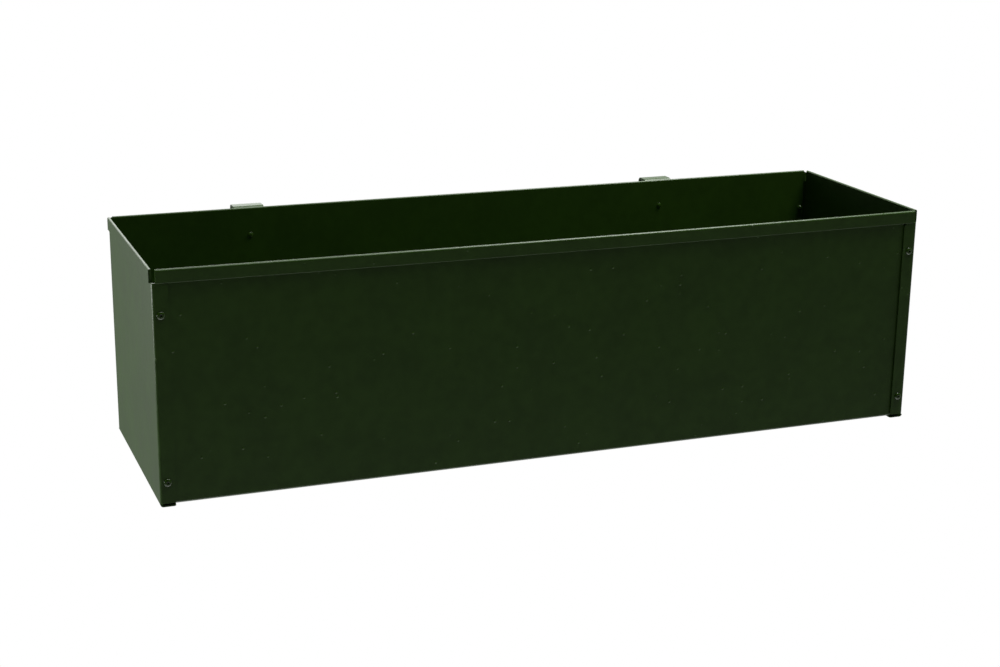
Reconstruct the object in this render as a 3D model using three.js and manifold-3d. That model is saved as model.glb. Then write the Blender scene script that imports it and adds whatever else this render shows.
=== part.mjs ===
// A hanging window box for flowers. One folded steel sheet makes the front, the
// floor and the back, two flanged end caps close it with blind rivets, and two
// strap hooks on the back carry it. Millimetres; +Z is up, +X runs along the
// box, and the front faces -Y.

import * as THREE from 'three';
import { mergeVertices } from 'three/addons/utils/BufferGeometryUtils.js';
import Module from 'manifold-3d';

const wasm = await Module();
wasm.setup();

// ---------------------------------------------------------------- dimensions

// The box
const length = 700;              // over the flat panels of the end caps
const depth = 201;               // over the front and back flanges of the end caps
const height = 198.5;            // from the bottom flanges to the rim
const sheet = 1.2;               // steel sheet of the shell and the end caps
const bendRadius = 1.2;          // inside radius of every fold of that sheet
const lap = 0.3;                 // air between two sheets that lie on each other
const edgeRadius = 0.45;         // rounding on the cut edges of the hems

// Hems along the rim, folded outwards
const hemHeight = 11.4;
const hemGap = 0.2;              // air inside the closed hem

// End caps
const flangeWidth = 13;          // front, back and bottom flanges, along X
const flangeTopGap = 0.6;        // between a hem's cut edge and the flange below it
const flangeFoot = 3;            // lower end of the side flanges above the bottom flange
const flangeCorner = 2;          // rounding of the flanges' free corners
const footSetback = 0.5;         // bottom flange, short of the front and back flanges
const shellSetback = 3.3;        // ends of the shell, short of the caps' outer faces
const reliefWidth = 3.4;         // notch at the caps' top corners, from the flange face
const reliefDepth = 13.9;        // that notch, down from the rim
const reliefRadius = 1.6;        // its rounded inner corner

// Blind rivets
const shankDiameter = 3.2;
const headDiameter = 6.6;
const headHeight = 1.3;
const mandrelHole = 1.9;         // open hole in the middle of the head
const mandrelHoleDepth = 1.6;
const tailDiameter = 4.8;        // bulb on the blind side
const tailLength = 3;
const seat = 0.2;                // air under a head and above a tail
const holeClearance = 0.3;       // round a shank, on the radius

// Where the rivets sit
const rivetFromEnd = 6.5;        // in from the end cap's outer face
const upperRivetDrop = 37.5;     // down from the rim
const lowerRivetHeight = 21;     // up from the bottom flange
const floorRivetSpacing = 124;   // between the two rivets of one bottom flange

// Drainage
const drainCount = 5;
const drainDiameter = 10;
const drainPitch = 130;

// Strap hooks
const strapWidth = 27.5;
const strapThickness = 2;
const strapRadius = 2;           // inside radius of the two upper bends
const strapCorner = 4;           // rounding of the strap's free corners
const hookReach = 17;            // from the back hem to the hook's outer face
const hookRise = 0.4;            // top of the hook above the rim
const hookDrop = 34;             // outer leg, down from the top of the hook
const backLeg = 96;              // inner leg, down from the top of the hook
const joggleAngle = 25;          // slope of the step that clears the hem, in degrees
const joggleRadius = 3;
const joggleDrop = 2;            // start of the step below the hem's cut edge
const hookRivetDrop = 25;        // first hook rivet, down from the rim
const hookRivetPitch = 50;       // from the first hook rivet to the second
const leftHookFromEnd = 126;     // middle of the strap to the nearest end
const rightHookFromEnd = 165;

// Facets
const bendStep = 15;             // degrees of a fold per facet
const roundSides = 14;           // rivets and their holes
const drainSides = 28;

// ------------------------------------------------- sizes that follow from them

const bendOuter = bendRadius + sheet;
const hemFold = hemGap / 2 + sheet;                    // outer radius of a hem's fold
const halfLength = length / 2;
const halfDepth = depth / 2;
const shellHalf = halfDepth - sheet - lap;             // shell's outer face, from the middle
const hemFace = shellHalf + hemGap + sheet;            // shell hem's outer face
const capHemFace = halfLength + hemGap + sheet;        // cap hem's outer face
const shellFloor = sheet + lap;                        // underside of the shell's floor
const shellEnd = halfLength - shellSetback;
const flangeTop = height - hemHeight - flangeTopGap;
const wallRivetGrip = sheet + lap + sheet;
const legFace = shellHalf + lap + strapThickness;      // hook's inner leg, riveted part
const hookRivetGrip = strapThickness + lap + sheet;
const hookOuterFace = hemFace + hookReach;
const frontmost = -halfDepth - seat - headHeight;
const headStand = seat + headHeight;                   // bottom rivet heads below the flange

// ------------------------------------------------------------------- materials

function paintedSteel(name, color, roughness) {
  const material = new THREE.MeshStandardMaterial({ color, roughness, metalness: 0.15 });
  material.name = name;
  return material;
}

// ---------------------------------------------------------- solids and cutters

// A closed three.js geometry as a solid that can be cut and joined.
function toSolid(geometry) {
  geometry.deleteAttribute('normal');
  geometry.deleteAttribute('uv');
  const merged = mergeVertices(geometry, 1e-4);
  const vertProperties = Float32Array.from(merged.attributes.position.array);
  const triVerts = Uint32Array.from(merged.index.array);
  return new wasm.Manifold(new wasm.Mesh({ numProp: 3, vertProperties, triVerts }));
}

function toGeometry(solid) {
  const { vertProperties, triVerts } = solid.getMesh();
  const geometry = new THREE.BufferGeometry();
  geometry.setAttribute('position', new THREE.BufferAttribute(vertProperties, 3));
  geometry.setIndex(new THREE.BufferAttribute(triVerts, 1));
  geometry.computeVertexNormals();
  return geometry;
}

function cutAll(solid, cutters) {
  return cutters.reduce((rest, cutter) => rest.subtract(cutter), solid);
}

// Frames for outlines: which world axes an outline's x, its y and the extrusion follow.
const alongX = new THREE.Matrix4().makeBasis(
  new THREE.Vector3(0, 1, 0),
  new THREE.Vector3(0, 0, 1),
  new THREE.Vector3(1, 0, 0),
);
const alongY = new THREE.Matrix4().makeBasis(
  new THREE.Vector3(1, 0, 0),
  new THREE.Vector3(0, 0, 1),
  new THREE.Vector3(0, -1, 0),
);
const alongZ = new THREE.Matrix4();

// Extrudes an outline by the given span, centred on its own plane.
function extrude(shape, span, frame) {
  const geometry = new THREE.ExtrudeGeometry(shape, { depth: span, bevelEnabled: false });
  geometry.translate(0, 0, -span / 2);
  geometry.applyMatrix4(frame);
  return geometry;
}

// ------------------------------------------------------------- folded profiles

const radians = THREE.MathUtils.degToRad;

function along(angle, distance) {
  return new THREE.Vector2(Math.cos(angle), Math.sin(angle)).multiplyScalar(distance);
}

// Replaces the corner b of the path a, b, c by a short arc.
function roundedCorner(a, b, c, radius) {
  const start = b.clone().add(a.clone().sub(b).setLength(radius));
  const end = b.clone().add(c.clone().sub(b).setLength(radius));
  return new THREE.QuadraticBezierCurve(start, b, end).getPoints(3);
}

// The section of a sheet that is folded step by step. `start` lies on the face to
// the left of the heading; each step is a straight length or a bend in degrees,
// positive to the left, with its inside radius.
function foldedProfile(start, headingDegrees, thickness, steps) {
  let heading = radians(headingDegrees);
  const left = [start.clone()];
  const right = [start.clone().add(along(heading - Math.PI / 2, thickness))];
  for (const { straight, bend, radius } of steps) {
    if (straight !== undefined) {
      left.push(left.at(-1).clone().add(along(heading, straight)));
      right.push(right.at(-1).clone().add(along(heading, straight)));
      continue;
    }
    const towards = heading + Math.sign(bend) * Math.PI / 2;
    const inner = bend > 0 ? left.at(-1) : right.at(-1);
    const centre = inner.clone().add(along(towards, radius));
    const count = Math.ceil(Math.abs(bend) / bendStep);
    for (let i = 0; i < count; i += 1) {
      left.push(left.at(-1).clone().rotateAround(centre, radians(bend) / count));
      right.push(right.at(-1).clone().rotateAround(centre, radians(bend) / count));
    }
    heading += radians(bend);
  }
  return { left, right };
}

function squareEnded({ left, right }) {
  return new THREE.Shape([...left, ...right.reverse()]);
}

// The same outline with the sheet's cut edges rounded.
function softEnded({ left, right }) {
  const outline = [...left, ...right.reverse()];
  const corners = new Set([0, left.length - 1, left.length, outline.length - 1]);
  const points = outline.flatMap((point, i) => {
    const before = outline.at(i - 1);
    const after = outline[(i + 1) % outline.length];
    return corners.has(i) ? roundedCorner(before, point, after, edgeRadius) : [point];
  });
  return new THREE.Shape(points);
}

// What a square corner at the outline's origin loses when it is rounded: the
// material lies towards -x and -y.
function cornerWaste(radius) {
  const spare = radius / 2;
  const shape = new THREE.Shape();
  shape.moveTo(0, -radius);
  shape.absarc(-radius, -radius, radius, 0, Math.PI / 2, false);
  shape.lineTo(-radius, spare);
  shape.lineTo(spare, spare);
  shape.lineTo(spare, -radius);
  return shape;
}

// Rounds a sheet's corner at (u, v) in the plane of `frame`. The signs tell the way
// out of the material along the plane's two axes, and `level` is the sheet's place.
function cornerCutter(frame, u, v, outU, outV, level, radius, span) {
  const geometry = extrude(cornerWaste(radius), span, alongZ);
  geometry.rotateZ(Math.atan2(outV, outU) - Math.PI / 4);
  geometry.translate(u, v, level);
  geometry.applyMatrix4(frame);
  return toSolid(geometry);
}

// ------------------------------------------------------------------ fasteners

const outward = {
  front: new THREE.Vector3(0, -1, 0),
  back: new THREE.Vector3(0, 1, 0),
  floor: new THREE.Vector3(0, 0, -1),
};

const ends = [
  { side: 'left', sign: -1 },
  { side: 'right', sign: 1 },
];

// Each rivet: its name, the middle of the face that its head sits on, the way it
// faces and the thickness that it grips.
function wallRivets({ side, sign }) {
  const x = sign * (halfLength - rivetFromEnd);
  const levels = { upper: height - upperRivetDrop, lower: lowerRivetHeight };
  return ['front', 'back'].flatMap((face) => Object.entries(levels).map(([level, z]) => ({
    name: `rivet_${face}_${side}_${level}`,
    at: new THREE.Vector3(x, outward[face].y * halfDepth, z),
    facing: outward[face],
    grip: wallRivetGrip,
  })));
}

function floorRivets({ side, sign }) {
  const x = sign * (halfLength - rivetFromEnd);
  return ['front', 'back'].map((half) => ({
    name: `rivet_bottom_${side}_${half}`,
    at: new THREE.Vector3(x, outward[half].y * floorRivetSpacing / 2, 0),
    facing: outward.floor,
    grip: wallRivetGrip,
  }));
}

const hooks = [
  { side: 'left', x: -halfLength + leftHookFromEnd },
  { side: 'right', x: halfLength - rightHookFromEnd },
];

function hookRivets({ side, x }) {
  return ['upper', 'lower'].map((level, row) => ({
    name: `rivet_hook_${side}_${level}`,
    at: new THREE.Vector3(x, legFace, height - hookRivetDrop - row * hookRivetPitch),
    facing: outward.back,
    grip: hookRivetGrip,
  }));
}

function roundCutter(at, facing, radius, reach, sides) {
  const geometry = new THREE.CylinderGeometry(radius, radius, 2 * reach, sides);
  geometry.applyQuaternion(turnedTo(facing));
  geometry.translate(at.x, at.y, at.z);
  return toSolid(geometry);
}

function rivetHole({ at, facing, grip }) {
  return roundCutter(at, facing, shankDiameter / 2 + holeClearance, 2 * grip, roundSides);
}

function turnedTo(facing) {
  return new THREE.Quaternion().setFromUnitVectors(new THREE.Vector3(0, 1, 0), facing);
}

// A set blind rivet, revolved about +Y with the underside of its head at y = 0.
function rivetGeometry(grip) {
  const shank = shankDiameter / 2;
  const head = headDiameter / 2;
  const tail = tailDiameter / 2;
  const hole = mandrelHole / 2;
  const rimThickness = headHeight * 0.25;
  const tailTop = -(grip + 2 * seat);
  const dome = new THREE.QuadraticBezierCurve(
    new THREE.Vector2(hole * 1.3, headHeight),
    new THREE.Vector2(head * 0.86, headHeight * 0.97),
    new THREE.Vector2(head, rimThickness),
  );
  const bulb = new THREE.QuadraticBezierCurve(
    new THREE.Vector2(tail, tailTop - tailLength * 0.3),
    new THREE.Vector2(tail, tailTop - tailLength),
    new THREE.Vector2(tail * 0.4, tailTop - tailLength),
  );
  const profile = [
    new THREE.Vector2(0, headHeight - mandrelHoleDepth),
    new THREE.Vector2(hole, headHeight - mandrelHoleDepth),
    new THREE.Vector2(hole, headHeight - rimThickness),
    ...dome.getPoints(4),
    new THREE.Vector2(head, 0),
    new THREE.Vector2(shank, 0),
    new THREE.Vector2(shank, tailTop),
    ...bulb.getPoints(3),
    new THREE.Vector2(0, tailTop - tailLength),
  ];
  return new THREE.LatheGeometry(profile.reverse(), roundSides);
}

// ----------------------------------------------------------------- body shell

// Front hem, front wall, floor, back wall and back hem, in one fold sequence.
function shellProfile() {
  const hem = { straight: hemHeight - hemFold };
  const fold = { bend: -180, radius: hemGap / 2 };
  const wall = { straight: height - hemFold - shellFloor - bendOuter };
  const corner = { bend: 90, radius: bendRadius };
  const floor = { straight: 2 * (shellHalf - bendOuter) };
  const start = new THREE.Vector2(-hemFace, height - hemHeight);
  return foldedProfile(start, 90, sheet, [
    hem, fold, wall, corner, floor, corner, wall, fold, hem,
  ]);
}

function drainHoles() {
  return Array.from({ length: drainCount }, (_, i) => {
    const x = (i - (drainCount - 1) / 2) * drainPitch;
    const at = new THREE.Vector3(x, 0, shellFloor);
    return roundCutter(at, outward.floor, drainDiameter / 2, 2 * sheet, drainSides);
  });
}

function bodyShell(rivets) {
  const blank = extrude(softEnded(shellProfile()), 2 * shellEnd, alongX);
  return toGeometry(cutAll(toSolid(blank), [...rivets.map(rivetHole), ...drainHoles()]));
}

// -------------------------------------------------------------------- end cap

// The cap at +X. Its bottom flange, panel and top hem are one fold sequence and its
// side flanges another; both share the panel.
function capSpine() {
  const start = new THREE.Vector2(halfLength - flangeWidth, sheet);
  return foldedProfile(start, 0, sheet, [
    { straight: flangeWidth - bendOuter },
    { bend: 90, radius: bendRadius },
    { straight: height - bendOuter - hemFold },
    { bend: -180, radius: hemGap / 2 },
    { straight: hemHeight - hemFold },
  ]);
}

function capFoot() {
  const start = new THREE.Vector2(halfLength - flangeWidth, sheet);
  return foldedProfile(start, 0, sheet, [
    { straight: flangeWidth - bendOuter },
    { bend: 90, radius: bendRadius },
  ]);
}

function capWrap() {
  const start = new THREE.Vector2(halfLength - flangeWidth, -halfDepth + sheet);
  const flange = { straight: flangeWidth - bendOuter };
  const corner = { bend: 90, radius: bendRadius };
  const panel = { straight: depth - 2 * bendOuter };
  return foldedProfile(start, 0, sheet, [flange, corner, panel, corner, flange]);
}

// The notch that frees a top hem from the side flange below it.
function cornerRelief(side) {
  const spare = reliefWidth;
  const inner = halfDepth - reliefWidth;
  const outer = halfDepth + spare;
  const floor = height - reliefDepth;
  const top = height + spare;
  const arcY = inner + reliefRadius;
  const arcZ = floor + reliefRadius;
  const shape = new THREE.Shape();
  shape.moveTo(inner, top);
  shape.lineTo(inner, arcZ);
  shape.absarc(arcY, arcZ, reliefRadius, Math.PI, 1.5 * Math.PI, false);
  shape.lineTo(outer, floor);
  shape.lineTo(outer, top);
  const end = capHemFace + spare;
  const geometry = extrude(shape, end - shellEnd, alongX);
  if (side < 0) geometry.rotateZ(Math.PI);
  geometry.translate((end + shellEnd) / 2, 0, 0);
  return toSolid(geometry);
}

function flangeCorners() {
  const free = halfLength - flangeWidth;
  const cutters = [];
  for (const side of [-1, 1]) {
    const wall = side * (halfDepth - sheet / 2);
    const foot = side * (halfDepth - footSetback);
    cutters.push(cornerCutter(alongY, free, flangeTop, -1, 1, -wall, flangeCorner, 3 * sheet));
    cutters.push(cornerCutter(alongY, free, flangeFoot, -1, -1, -wall, flangeCorner, 3 * sheet));
    cutters.push(cornerCutter(alongZ, free, foot, -1, side, 0, flangeCorner, 3 * sheet));
  }
  return cutters;
}

function endCap(rivets) {
  const spine = extrude(softEnded(capSpine()), depth - 2 * bendOuter, alongY);
  const foot = extrude(squareEnded(capFoot()), depth - 2 * footSetback, alongY);
  const wrap = extrude(squareEnded(capWrap()), flangeTop - flangeFoot, alongZ);
  wrap.translate(0, 0, (flangeTop + flangeFoot) / 2);
  const blank = toSolid(spine).add(toSolid(foot)).add(toSolid(wrap));
  return toGeometry(cutAll(blank, [
    cornerRelief(-1), cornerRelief(1), ...flangeCorners(), ...rivets.map(rivetHole),
  ]));
}

// ----------------------------------------------------------------- strap hook

// Up the back wall, out past the hem by a joggle, back over the top and down.
function hookProfile() {
  const step = hemFace - shellHalf;
  const slope = radians(joggleAngle);
  const bendDrop = (2 * joggleRadius + strapThickness) * (1 - Math.cos(slope));
  const rampRise = (step - bendDrop) / Math.tan(slope);
  const rampLength = (step - bendDrop) / Math.sin(slope);
  const joggleRise = rampRise + (2 * joggleRadius + strapThickness) * Math.sin(slope);
  const top = height + hookRise;
  const joggleTop = height - hemHeight - joggleDrop;
  const bottom = top - backLeg;
  const strapOuter = strapRadius + strapThickness;
  const start = new THREE.Vector2(shellHalf + lap, bottom);
  return foldedProfile(start, 90, strapThickness, [
    { straight: joggleTop - joggleRise - bottom },
    { bend: -joggleAngle, radius: joggleRadius },
    { straight: rampLength },
    { bend: joggleAngle, radius: joggleRadius },
    { straight: top - strapOuter - joggleTop },
    { bend: -90, radius: strapRadius },
    { straight: hookReach - lap - 2 * strapOuter },
    { bend: -90, radius: strapRadius },
    { straight: hookDrop - strapOuter },
  ]);
}

function strapCorners() {
  const half = strapWidth / 2;
  const legEnd = height + hookRise - backLeg;
  const tipEnd = height + hookRise - hookDrop;
  const legLevel = legFace - strapThickness / 2;
  const tipLevel = hookOuterFace - strapThickness / 2;
  const span = 2 * strapThickness;
  return [-1, 1].flatMap((side) => [
    cornerCutter(alongY, side * half, legEnd, side, -1, -legLevel, strapCorner, span),
    cornerCutter(alongY, side * half, tipEnd, side, -1, -tipLevel, strapCorner, span),
  ]);
}

// The strap about its own middle; its two rivet holes are given at that place too.
function strapHook(rivets) {
  const blank = toSolid(extrude(squareEnded(hookProfile()), strapWidth, alongX));
  return toGeometry(cutAll(blank, [...strapCorners(), ...rivets.map(rivetHole)]));
}

// ------------------------------------------------------------------- assembly

const planter = new THREE.Group();
planter.name = 'window_box';

function place(name, geometry, material) {
  const mesh = new THREE.Mesh(geometry, material);
  mesh.name = name;
  planter.add(mesh);
  return mesh;
}

const shellPaint = paintedSteel('shell_paint', 0x3b4a2c, 0.55);
const capPaint = paintedSteel('cap_paint', 0x3d4c2e, 0.55);
const hookPaint = paintedSteel('hook_paint', 0x3d4c2e, 0.5);
const rivetPaint = paintedSteel('rivet_paint', 0x3f4e30, 0.45);

const capRivets = ends.map((end) => [...wallRivets(end), ...floorRivets(end)]);
const strapRivets = hooks.map(hookRivets);
const allRivets = [...capRivets, ...strapRivets].flat();

place('body_shell', bodyShell(allRivets), shellPaint);

const rightCapRivets = capRivets[1];
for (const { side, sign } of ends) {
  const cap = place(`end_cap_${side}`, endCap(rightCapRivets), capPaint);
  cap.rotation.z = sign < 0 ? Math.PI : 0;
}

for (const { side, x } of hooks) {
  const strap = place(`hook_${side}`, strapHook(hookRivets({ side, x: 0 })), hookPaint);
  strap.position.x = x;
}

for (const { name, at, facing, grip } of allRivets) {
  const rivet = place(name, rivetGeometry(grip), rivetPaint);
  rivet.quaternion.copy(turnedTo(facing));
  rivet.position.copy(at).addScaledVector(facing, seat);
}

// The origin is the middle of the outer box, at the height that the box stands on.
planter.position.set(0, -(hookOuterFace + frontmost) / 2, headStand);

export default planter;
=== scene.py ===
# A window box planter of folded and riveted sheet metal, in green powder coat, with two
# strap hooks behind its back rim. Lengths are in metres unless a name says otherwise.

import math

import bmesh
import bpy
from mathutils import Matrix, Vector


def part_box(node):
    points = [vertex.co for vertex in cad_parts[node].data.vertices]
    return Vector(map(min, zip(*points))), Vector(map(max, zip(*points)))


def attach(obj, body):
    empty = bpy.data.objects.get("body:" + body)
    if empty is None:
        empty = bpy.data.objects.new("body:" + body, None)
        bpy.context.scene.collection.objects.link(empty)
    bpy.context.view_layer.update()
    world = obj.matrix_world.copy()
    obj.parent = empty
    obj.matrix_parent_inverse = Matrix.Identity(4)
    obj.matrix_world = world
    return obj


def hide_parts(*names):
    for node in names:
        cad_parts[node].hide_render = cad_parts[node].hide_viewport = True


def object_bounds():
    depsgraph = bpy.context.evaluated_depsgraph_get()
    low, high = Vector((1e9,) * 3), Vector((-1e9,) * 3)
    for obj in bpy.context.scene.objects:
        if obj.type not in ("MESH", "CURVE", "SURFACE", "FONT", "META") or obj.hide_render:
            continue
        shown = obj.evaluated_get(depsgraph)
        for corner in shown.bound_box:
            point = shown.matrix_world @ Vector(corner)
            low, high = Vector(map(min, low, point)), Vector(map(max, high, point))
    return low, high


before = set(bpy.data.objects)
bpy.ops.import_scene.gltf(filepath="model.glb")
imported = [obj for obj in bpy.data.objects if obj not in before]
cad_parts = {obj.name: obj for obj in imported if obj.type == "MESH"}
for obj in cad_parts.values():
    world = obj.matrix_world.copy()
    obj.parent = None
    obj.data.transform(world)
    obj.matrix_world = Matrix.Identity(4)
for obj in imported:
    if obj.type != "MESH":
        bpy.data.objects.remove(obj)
cad_low, cad_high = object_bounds()

# ------------------------------------------------------------------------------- camera

# The photograph's camera. Its place is from the middle of the box's underside.
CAMERA_PLACE = Vector((-0.5866, -1.4656, 0.5481))
CAMERA_AZIMUTH = math.radians(21.18)
CAMERA_DROP = math.radians(16.31)
CAMERA_ROLL = math.radians(0.714)
FOCAL_PIXELS = 1801.9
FRAME_PIXELS = 1000
SENSOR_MM = 36.0
CLIP_NEAR, CLIP_FAR = 0.05, 60


def box_foot():
    low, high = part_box("end_cap_left")
    return Vector((0, (low.y + high.y) / 2, low.z))


def make_camera():
    forward = Vector((
        math.sin(CAMERA_AZIMUTH) * math.cos(CAMERA_DROP),
        math.cos(CAMERA_AZIMUTH) * math.cos(CAMERA_DROP),
        -math.sin(CAMERA_DROP),
    ))
    level_right = forward.cross(Vector((0, 0, 1))).normalized()
    level_up = level_right.cross(forward)
    right = math.cos(CAMERA_ROLL) * level_right + math.sin(CAMERA_ROLL) * level_up
    up = math.cos(CAMERA_ROLL) * level_up - math.sin(CAMERA_ROLL) * level_right
    data = bpy.data.cameras.new("camera")
    data.sensor_fit = "HORIZONTAL"
    data.sensor_width = SENSOR_MM
    data.lens = FOCAL_PIXELS / FRAME_PIXELS * SENSOR_MM
    data.clip_start = CLIP_NEAR
    data.clip_end = CLIP_FAR
    camera = bpy.data.objects.new("camera", data)
    turn = Matrix((right, up, -forward)).transposed().to_4x4()
    camera.matrix_world = Matrix.Translation(box_foot() + CAMERA_PLACE) @ turn
    bpy.context.scene.collection.objects.link(camera)
    bpy.context.scene.camera = camera


# ---------------------------------------------------------------------------- materials


class Nodes:
    """Adds and joins shader nodes in one tree."""

    def __init__(self, tree):
        self.tree = tree
        tree.nodes.clear()

    def add(self, kind, **inputs):
        node = self.tree.nodes.new(kind)
        for name, value in inputs.items():
            self.set(node.inputs[name.replace("_", " ")], value)
        return node

    def set(self, socket, value):
        if isinstance(value, bpy.types.NodeSocket):
            self.tree.links.new(value, socket)
        else:
            socket.default_value = value

    def math(self, operation, first, second=0.0):
        node = self.tree.nodes.new("ShaderNodeMath")
        node.operation = operation
        self.set(node.inputs[0], first)
        self.set(node.inputs[1], second)
        return node.outputs[0]

    def blend(self, factor, first, second):
        node = self.tree.nodes.new("ShaderNodeMix")
        node.data_type = "RGBA"
        self.set(node.inputs["Factor"], factor)
        self.set(node.inputs["A"], first)
        self.set(node.inputs["B"], second)
        return node.outputs["Result"]

    def ramp(self, value, start, end):
        node = self.tree.nodes.new("ShaderNodeMapRange")
        node.interpolation_type = "SMOOTHSTEP"
        self.set(node.inputs["Value"], value)
        self.set(node.inputs["From Min"], start)
        self.set(node.inputs["From Max"], end)
        return node.outputs["Result"]

    def noise(self, place, scale, detail=2.0, roughness=0.5):
        node = self.tree.nodes.new("ShaderNodeTexNoise")
        self.set(node.inputs["Vector"], place)
        self.set(node.inputs["Scale"], scale)
        self.set(node.inputs["Detail"], detail)
        self.set(node.inputs["Roughness"], roughness)
        return node.outputs["Fac"]


GREEN = (0.0207, 0.0538, 0.0045)

# Roughness and specular level of the sheets and of the rivets.
SHEET_GLOSS = (0.36, 0.30)
RIVET_GLOSS = (0.24, 0.5)

# The coat's tone: how the green varies, and the noises that it follows, per metre.
DARK_TONE, LIGHT_TONE = 0.88, 1.12
TONE_START, TONE_END = 0.32, 0.68
MOTTLE_SCALE = 26.0
CLOUD_SCALE = 110.0
CLOUD_ROUGHNESS = 0.12

# The coat's relief, from wide to fine: features per metre, strength and depth.
WAVE_SCALE, WAVE_STRENGTH, WAVE_DEPTH = 5.0, 0.35, 0.0008
PEEL_SCALE, PEEL_STRENGTH, PEEL_DEPTH = 420.0, 0.22, 0.00010
GRAIN_SCALE, GRAIN_STRENGTH, GRAIN_DEPTH = 1300.0, 0.12, 0.00008
NIB_STRENGTH, NIB_DEPTH = 1.0, 0.00022

NIB_SCALE = 150.0                # cells per metre, each of which may carry a nib
NIB_SHARE = 0.30                 # of the cells that do
NIB_RADIUS = 0.16                # of the widest nib, in cells
NIB_EDGE = (-0.05, 0.10)         # its slope, from outside to inside, in cells
NIB_DUST_AND_GLINT = 0.5                   # how far a nib's colour goes towards a lighter, greyer colour: dust, plus a painted highlight of light caught on the nib
# How much lighter and greyer a nib is drawn: partly dust, partly a painted highlight of
# the light it catches.
DUST_AND_GLINT_GAIN, DUST_AND_GLINT_LIFT = 1.8, 0.004


def nibs(nodes, place):
    """Small grains caught in the coat: a round hump in some of the cells."""
    cells = nodes.add("ShaderNodeTexVoronoi", Vector=place, Scale=NIB_SCALE)
    parts = nodes.add("ShaderNodeSeparateColor", Color=cells.outputs["Color"])
    limit = 1 - NIB_SHARE
    chosen = nodes.ramp(parts.outputs["Red"], limit, limit + 0.02)
    size = nodes.math("MULTIPLY", parts.outputs["Green"], NIB_RADIUS)
    depth = nodes.math("SUBTRACT", size, cells.outputs["Distance"])
    return nodes.math("MULTIPLY", nodes.ramp(depth, *NIB_EDGE), chosen)


def relief(nodes, height, strength, depth, under=None):
    """One layer of bumps, on top of the layer under it."""
    bump = nodes.add("ShaderNodeBump", Strength=strength, Distance=depth, Height=height)
    if under is not None:
        nodes.set(bump.inputs["Normal"], under)
    return bump.outputs["Normal"]


def powder_coat(name, roughness, specular):
    """Satin powder coat: an orange peel, faint mottling and a few nibs, whose lighter
    colour is partly dust and partly a painted highlight.
    """
    material = bpy.data.materials.new(name)
    material.use_nodes = True
    nodes = Nodes(material.node_tree)
    place = nodes.add("ShaderNodeTexCoord").outputs["Object"]
    mottle = nodes.noise(place, MOTTLE_SCALE, 4.0, 0.6)
    cloud = nodes.noise(place, CLOUD_SCALE, 3.0, 0.6)
    nib = nibs(nodes, place)

    dark = (*[c * DARK_TONE for c in GREEN], 1)
    light = (*[c * LIGHT_TONE for c in GREEN], 1)
    # The nibs' colour is lighter and greyer than the coat: dust, plus a painted highlight
    # standing in for light caught on each nib.
    dust_and_glint = (*[c * DUST_AND_GLINT_GAIN + DUST_AND_GLINT_LIFT for c in GREEN], 1)
    tone = nodes.math("MULTIPLY", nodes.math("ADD", mottle, cloud), 0.5)
    paint = nodes.blend(nodes.ramp(tone, TONE_START, TONE_END), dark, light)
    paint = nodes.blend(nodes.math("MULTIPLY", nib, NIB_DUST_AND_GLINT), paint, dust_and_glint)
    haze = nodes.math("MULTIPLY", cloud, CLOUD_ROUGHNESS)
    rough = nodes.math("ADD", haze, roughness - CLOUD_ROUGHNESS / 2)

    bow = nodes.noise(place, WAVE_SCALE, 1.0)
    peel = nodes.noise(place, PEEL_SCALE, 2.0, 0.5)
    grain = nodes.noise(place, GRAIN_SCALE, 2.0, 0.6)
    normal = relief(nodes, bow, WAVE_STRENGTH, WAVE_DEPTH)
    normal = relief(nodes, peel, PEEL_STRENGTH, PEEL_DEPTH, normal)
    normal = relief(nodes, grain, GRAIN_STRENGTH, GRAIN_DEPTH, normal)
    normal = relief(nodes, nib, NIB_STRENGTH, NIB_DEPTH, normal)

    shader = nodes.add("ShaderNodeBsdfPrincipled", Base_Color=paint, Roughness=rough)
    shader.inputs["Specular IOR Level"].default_value = specular
    nodes.set(shader.inputs["Normal"], normal)
    output = nodes.add("ShaderNodeOutputMaterial")
    nodes.set(output.inputs["Surface"], shader.outputs["BSDF"])
    return material


# ------------------------------------------------------------------------------- studio

WHITE = (1.0, 1.0, 1.0, 1.0)
FLOOR_HALF = 20.0

# Where the room's soft light comes from: direction, how tight, how strong.
SOFT_LIGHTS = [
    ((0.0, 0.0, -1.0), 4, 2.6),
    ((0.0, 0.0, -1.0), 2, 0.8),
    ((1.0, 0.0, -0.3), 5, 0.4),
    ((-0.6, 1.0, -0.3), 6, 0.2),
    ((-0.1, 1.0, 0.28), 24, 2.4),
    ((0.2, 1.0, 0.28), 24, 2.8),
    ((0.2, 0.0, 1.0), 20, 9.8),
]


def room_light(nodes, direction):
    """The room's brightness along a direction, as a sum of soft lobes."""
    total = None
    for towards, tightness, strength in SOFT_LIGHTS:
        aim = nodes.add("ShaderNodeVectorMath")
        aim.operation = "DOT_PRODUCT"
        nodes.set(aim.inputs[0], direction)
        nodes.set(aim.inputs[1], Vector(towards).normalized())
        facing = nodes.math("MAXIMUM", aim.outputs["Value"], 0.0)
        lobe = nodes.math("MULTIPLY", nodes.math("POWER", facing, tightness), strength)
        total = lobe if total is None else nodes.math("ADD", total, lobe)
    return total


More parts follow.
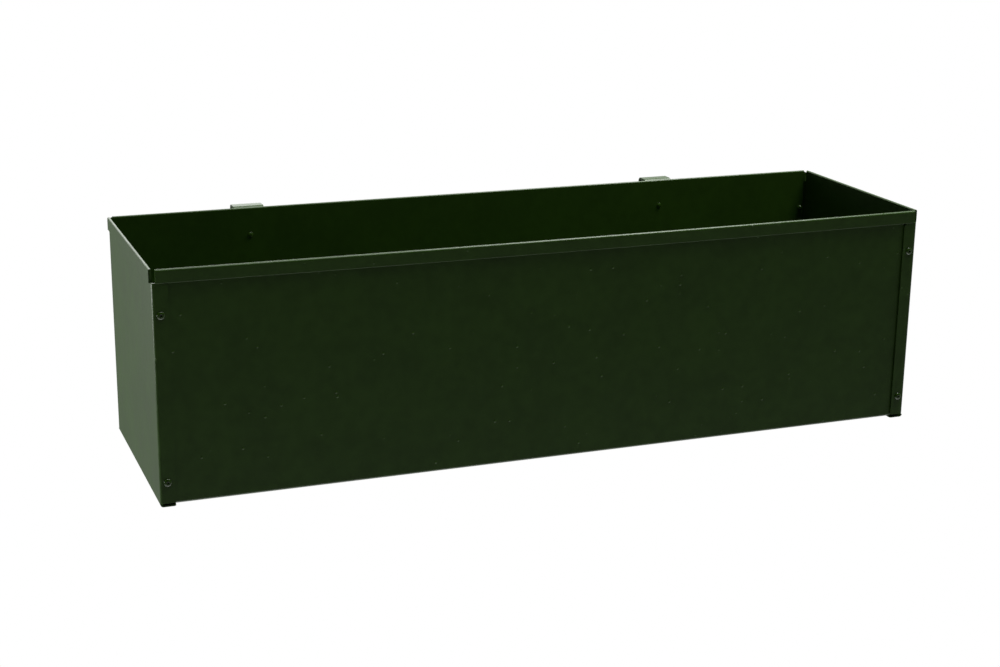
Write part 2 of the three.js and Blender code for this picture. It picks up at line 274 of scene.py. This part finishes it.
def make_world():
    """White behind the object, and a soft uneven room on the object."""
    world = bpy.data.worlds.new("studio")
    world.use_nodes = True
    nodes = Nodes(world.node_tree)
    direction = nodes.add("ShaderNodeTexCoord").outputs["Generated"]
    around = nodes.add("ShaderNodeBackground", Color=WHITE)
    nodes.set(around.inputs["Strength"], room_light(nodes, direction))
    seen = nodes.add("ShaderNodeBackground", Color=WHITE, Strength=1.0)
    ray = nodes.add("ShaderNodeLightPath")
    either = nodes.add("ShaderNodeMixShader")
    nodes.set(either.inputs[0], ray.outputs["Is Camera Ray"])
    nodes.set(either.inputs[1], around.outputs[0])
    nodes.set(either.inputs[2], seen.outputs[0])
    output = nodes.add("ShaderNodeOutputWorld")
    nodes.set(output.inputs["Surface"], either.outputs[0])
    bpy.context.scene.world = world


def softbox(name, place, target, width, height, watts):
    data = bpy.data.lights.new(name, "AREA")
    data.shape = "RECTANGLE"
    data.size = width
    data.size_y = height
    data.energy = watts
    light = bpy.data.objects.new(name, data)
    light.location = place
    light.rotation_mode = "QUATERNION"
    light.rotation_quaternion = (Vector(target) - Vector(place)).to_track_quat("-Z", "Y")
    light.visible_camera = False
    bpy.context.scene.collection.objects.link(light)


def make_floor():
    """White paper under the box, which glows so that no shadow or edge shows."""
    mesh = bpy.data.meshes.new("floor")
    half = FLOOR_HALF
    corners = [(-half, -half, 0), (half, -half, 0), (half, half, 0), (-half, half, 0)]
    mesh.from_pydata(corners, [], [(0, 1, 2, 3)])
    floor = bpy.data.objects.new("floor", mesh)
    floor.location.z = cad_low.z
    material = bpy.data.materials.new("floor_paper")
    material.use_nodes = True
    nodes = Nodes(material.node_tree)
    glow = nodes.add("ShaderNodeEmission", Color=WHITE, Strength=1.0)
    output = nodes.add("ShaderNodeOutputMaterial")
    nodes.set(output.inputs["Surface"], glow.outputs[0])
    mesh.materials.append(material)
    floor.visible_diffuse = False
    floor.visible_glossy = False
    bpy.context.scene.collection.objects.link(floor)


# ------------------------------------------------------------------------ folded sheets

SHEET = 0.0012
CLOSE = 1e-5                     # slack when points are picked by where they are
MERGE = 2e-6                     # points nearer than this are one point
EDGE_ROUND = 0.00018
SHARP = math.radians(38)         # edges that turn more than this are cut edges
FLAT = math.radians(0.6)         # faces that turn less than this are one face
SMOOTHING_WEIGHT = 80

# The shell is cut into bays along its length, and at these depths below its rim.
SHELL_BAYS = 16
SHELL_CUTS = (0.03, 0.07, 0.12)

# The front hem, from the rim down: the fold's outer radius as cut and as it is rolled.
HEM_HEIGHT = 0.0114
FLAT_FOLD = 0.0013
ROUND_FOLD = 0.00175
LIP_LEAN = 0.25                  # how far its lip comes back in, of what it went out

# The back hem's outer layer, past the back wall's end.
HEM_REACH = 0.0043
REACH_FROM = 0.0005              # points this near the wall's end move with it
REACH_TOP = 0.0016               # how far that end comes down at its top
REACH_LIP = 0.0005               # and at its lip

# The caps' corner notches, as drops below the rim.
FLANGE_DROP = 0.0120             # top of the side flanges
NOTCH_DROP = 0.0140              # just under the lowest point of a notch as cut
NOTCH_FLOOR = 0.0109             # its highest point once the piece is finished
NOTCH_SLOPE = 0.1                # what is left of the height differences in its floor
NOTCH_WIDTH = 0.0035             # in from the flange's face
NOTCH_INNER = 0.346              # the notches lie further out than this along X

# The front rim dips a little at mid length, as a long folded sheet does.
FRONT_DIP = 0.0010


def slices(shape, axis, places):
    """Cuts the shape's faces by planes across an axis, so that they can bend there."""
    normal = Vector([1.0 if i == axis else 0.0 for i in range(3)])
    for place in places:
        parts = shape.verts[:] + shape.edges[:] + shape.faces[:]
        bmesh.ops.bisect_plane(
            shape, geom=parts, dist=1e-7, plane_co=normal * place, plane_no=normal,
        )


def eased(value):
    value = min(max(value, 0.0), 1.0)
    return value * value * (3 - 2 * value)


def rolled(out, drop, outer):
    """Where a point of the flat hem goes when its fold is rolled to a wider radius.

    `out` is how far in front of the box's middle it is, `drop` how far below the rim
    and `outer` the flat hem's outer face. The wall stays, the fold widens outwards.
    """
    growth = ROUND_FOLD - FLAT_FOLD
    middle = outer - FLAT_FOLD
    if drop <= FLAT_FOLD + 1e-6:
        spoke = Vector((out - middle, FLAT_FOLD - drop))
        spoke *= (spoke.length + growth) / spoke.length
        return middle + growth + spoke.x, ROUND_FOLD - spoke.y
    if out < middle:
        return out, drop
    share = (drop - FLAT_FOLD) / (HEM_HEIGHT - FLAT_FOLD)
    level = ROUND_FOLD + share * (HEM_HEIGHT - ROUND_FOLD)
    return out + 2 * growth * (1 - LIP_LEAN * share), level


def roll_front_hem(shape):
    """The front rim's fold; the back rim's stays flat, close against the hooks."""
    low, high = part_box("body_shell")
    middle = (low.y + high.y) / 2
    outer = (high.y - low.y) / 2
    wall = outer - 2 * FLAT_FOLD
    for vert in shape.verts:
        out = middle - vert.co.y
        drop = high.z - vert.co.z
        if out > wall - CLOSE and drop < HEM_HEIGHT + CLOSE:
            out, drop = rolled(out, drop, outer)
            vert.co.y = middle - out
            vert.co.z = high.z - drop


def reach_back_hem(shape):
    """The back hem's outer layer runs on to the caps, behind their corner notches."""
    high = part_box("body_shell")[1]
    for vert in shape.verts:
        behind = vert.co.y > high.y - SHEET - CLOSE
        below_fold = vert.co.z < high.z - FLAT_FOLD + CLOSE
        if behind and below_fold and abs(vert.co.x) > high.x - REACH_FROM:
            at_top = vert.co.z > high.z - HEM_HEIGHT / 2
            vert.co.x += math.copysign(HEM_REACH, vert.co.x)
            vert.co.z -= REACH_TOP if at_top else REACH_LIP


def dip_front_rim(shape):
    low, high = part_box("body_shell")
    middle = (low.y + high.y) / 2
    for vert in shape.verts:
        if vert.co.y < middle:
            rise = (vert.co.z - low.z) / (high.z - low.z)
            arch = 1 - (vert.co.x / high.x) ** 2
            vert.co.z -= FRONT_DIP * arch * eased(rise)


def form_shell(shape):
    low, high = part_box("body_shell")
    bay = (high.x - low.x) / SHELL_BAYS
    slices(shape, 0, [low.x + bay * (i + 1) for i in range(SHELL_BAYS - 1)])
    slices(shape, 2, [high.z - cut for cut in SHELL_CUTS])
    reach_back_hem(shape)
    roll_front_hem(shape)
    dip_front_rim(shape)


def raise_notches(shape, node):
    """The floor of each corner notch comes up behind the lip of the shell's hem."""
    low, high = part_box(node)
    middle = (low.y + high.y) / 2
    inner = (high.y - low.y) / 2 - NOTCH_WIDTH
    for vert in shape.verts:
        drop = high.z - vert.co.z
        at_corner = abs(vert.co.y - middle) > inner and abs(vert.co.x) > NOTCH_INNER
        if at_corner and FLANGE_DROP < drop < NOTCH_DROP:
            vert.co.z = high.z - NOTCH_FLOOR - NOTCH_SLOPE * (drop - FLANGE_DROP)


def finished_shape(node):
    """The node's own shape, its flat faces whole again and its cut edges eased."""
    shape = bmesh.new()
    shape.from_mesh(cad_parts[node].data)
    bmesh.ops.remove_doubles(shape, verts=shape.verts, dist=MERGE)
    bmesh.ops.dissolve_limit(shape, angle_limit=FLAT, verts=shape.verts, edges=shape.edges)
    sharp = [e for e in shape.edges if e.is_manifold and e.calc_face_angle(0) > SHARP]
    bmesh.ops.bevel(
        shape, geom=sharp, offset=EDGE_ROUND, segments=2, profile=0.5,
        affect="EDGES", clamp_overlap=True,
    )
    if node == "body_shell":
        form_shell(shape)
    if node.startswith("end_cap"):
        raise_notches(shape, node)
    return shape


# ------------------------------------------------------------------------------- rivets

# A set blind rivet, as radius and height over the head's underside.
HEAD_HEIGHT = 0.0013
TAIL_LENGTH = 0.0030
RIVET_SIDES = 40
STEM_AND_HOLE = [
    (0.0, 0.00045), (0.00062, 0.00042), (0.00078, 0.00030), (0.00080, -0.00020),
    (0.00095, -0.00020), (0.00095, 0.00100), (0.00102, 0.00118), (0.00116, 0.00127),
]
DOME_START = Vector((0.00132, 0.00130))
DOME_PULL = Vector((0.00290, 0.00127))
DOME_END = Vector((0.00330, 0.00034))
DOME_STEPS = 9
RIM = [(0.00330, 0.00016), (0.00324, 0.00004), (0.00310, 0.0)]
SHANK = 0.00160
BULB = [
    (0.00205, 0.00002), (0.00232, 0.00030), (0.00240, 0.00085), (0.00234, 0.00145),
    (0.00210, 0.00195), (0.00176, 0.00224), (0.00152, 0.00230), (0.00146, 0.00256),
    (0.00118, 0.00284), (0.00060, 0.00297), (0.0, 0.00300),
]
PRESSED_FLAT = 0.3               # length left of the bulbs that hold the hooks

# Which way each group's heads face.
FACINGS = {
    "rivet_front": Vector((0, -1, 0)),
    "rivet_back": Vector((0, 1, 0)),
    "rivet_hook": Vector((0, 1, 0)),
    "rivet_bottom": Vector((0, 0, -1)),
}


def curve_points(start, pull, end, count):
    steps = [i / count for i in range(count + 1)]
    return [start * (1 - t) ** 2 + pull * 2 * t * (1 - t) + end * t * t for t in steps]


def rivet_profile(tail_top, squash):
    dome = [(p.x, p.y) for p in curve_points(DOME_START, DOME_PULL, DOME_END, DOME_STEPS)]
    bulb = [(r, tail_top - h * squash) for r, h in BULB]
    return STEM_AND_HOLE + dome + RIM + [(SHANK, 0.0), (SHANK, tail_top)] + bulb


def rivet_shape(node):
    """A rivet turned about its own axis, where the node has it."""
    facing = next(way for start, way in FACINGS.items() if node.startswith(start))
    low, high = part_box(node)
    middle = (low + high) / 2
    span = abs((high - low).dot(facing))
    seat = middle + facing * (span / 2 - HEAD_HEIGHT)
    squash = PRESSED_FLAT if node.startswith("rivet_hook") else 1.0
    profile = rivet_profile(HEAD_HEIGHT + TAIL_LENGTH - span, squash)
    shape = bmesh.new()
    points = [shape.verts.new((radius, 0, height)) for radius, height in profile]
    edges = [shape.edges.new(pair) for pair in zip(points, points[1:])]
    bmesh.ops.spin(
        shape, geom=points + edges, cent=(0, 0, 0), axis=(0, 0, 1), dvec=(0, 0, 0),
        angle=math.tau, steps=RIVET_SIDES, use_merge=True,
    )
    bmesh.ops.remove_doubles(shape, verts=shape.verts, dist=1e-7)
    bmesh.ops.recalc_face_normals(shape, faces=shape.faces)
    turn = Vector((0, 0, 1)).rotation_difference(facing).to_matrix().to_4x4()
    bmesh.ops.transform(shape, matrix=Matrix.Translation(seat) @ turn, verts=shape.verts)
    return shape


# ------------------------------------------------------------------------------ dressing


def dressed(node, shape, material):
    """Puts the finished piece in the node's place."""
    for face in shape.faces:
        face.smooth = True
    mesh = bpy.data.meshes.new(node + "_finished")
    shape.to_mesh(mesh)
    shape.free()
    mesh.materials.append(material)
    piece = bpy.data.objects.new(node + "_finished", mesh)
    bpy.context.scene.collection.objects.link(piece)
    even = piece.modifiers.new("even_shading", "WEIGHTED_NORMAL")
    even.mode = "FACE_AREA_WITH_ANGLE"
    even.weight = SMOOTHING_WEIGHT
    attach(piece, "root")
    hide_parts(node)


shell_paint = powder_coat("shell_powder_coat", *SHEET_GLOSS)
cap_paint = powder_coat("cap_powder_coat", *SHEET_GLOSS)
hook_paint = powder_coat("hook_powder_coat", *SHEET_GLOSS)
rivet_paint = powder_coat("rivet_powder_coat", *RIVET_GLOSS)

make_camera()
make_world()
make_floor()
softbox("softbox_above", (0.55, 0.15, 1.15), (0.3, 0.1, 0.1), 0.9, 0.5, 18)
softbox("softbox_left", (-0.95, 0.15, 0.09), (-0.35, 0.0, 0.09), 0.6, 0.16, 4.8)

for name in list(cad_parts):
    if name.startswith("end_cap"):
        dressed(name, finished_shape(name), cap_paint)
    elif name.startswith("hook"):
        dressed(name, finished_shape(name), hook_paint)
    elif name.startswith("rivet"):
        dressed(name, rivet_shape(name), rivet_paint)
    else:
        dressed(name, finished_shape(name), shell_paint)

bpy.context.scene.view_settings.view_transform = "Standard"
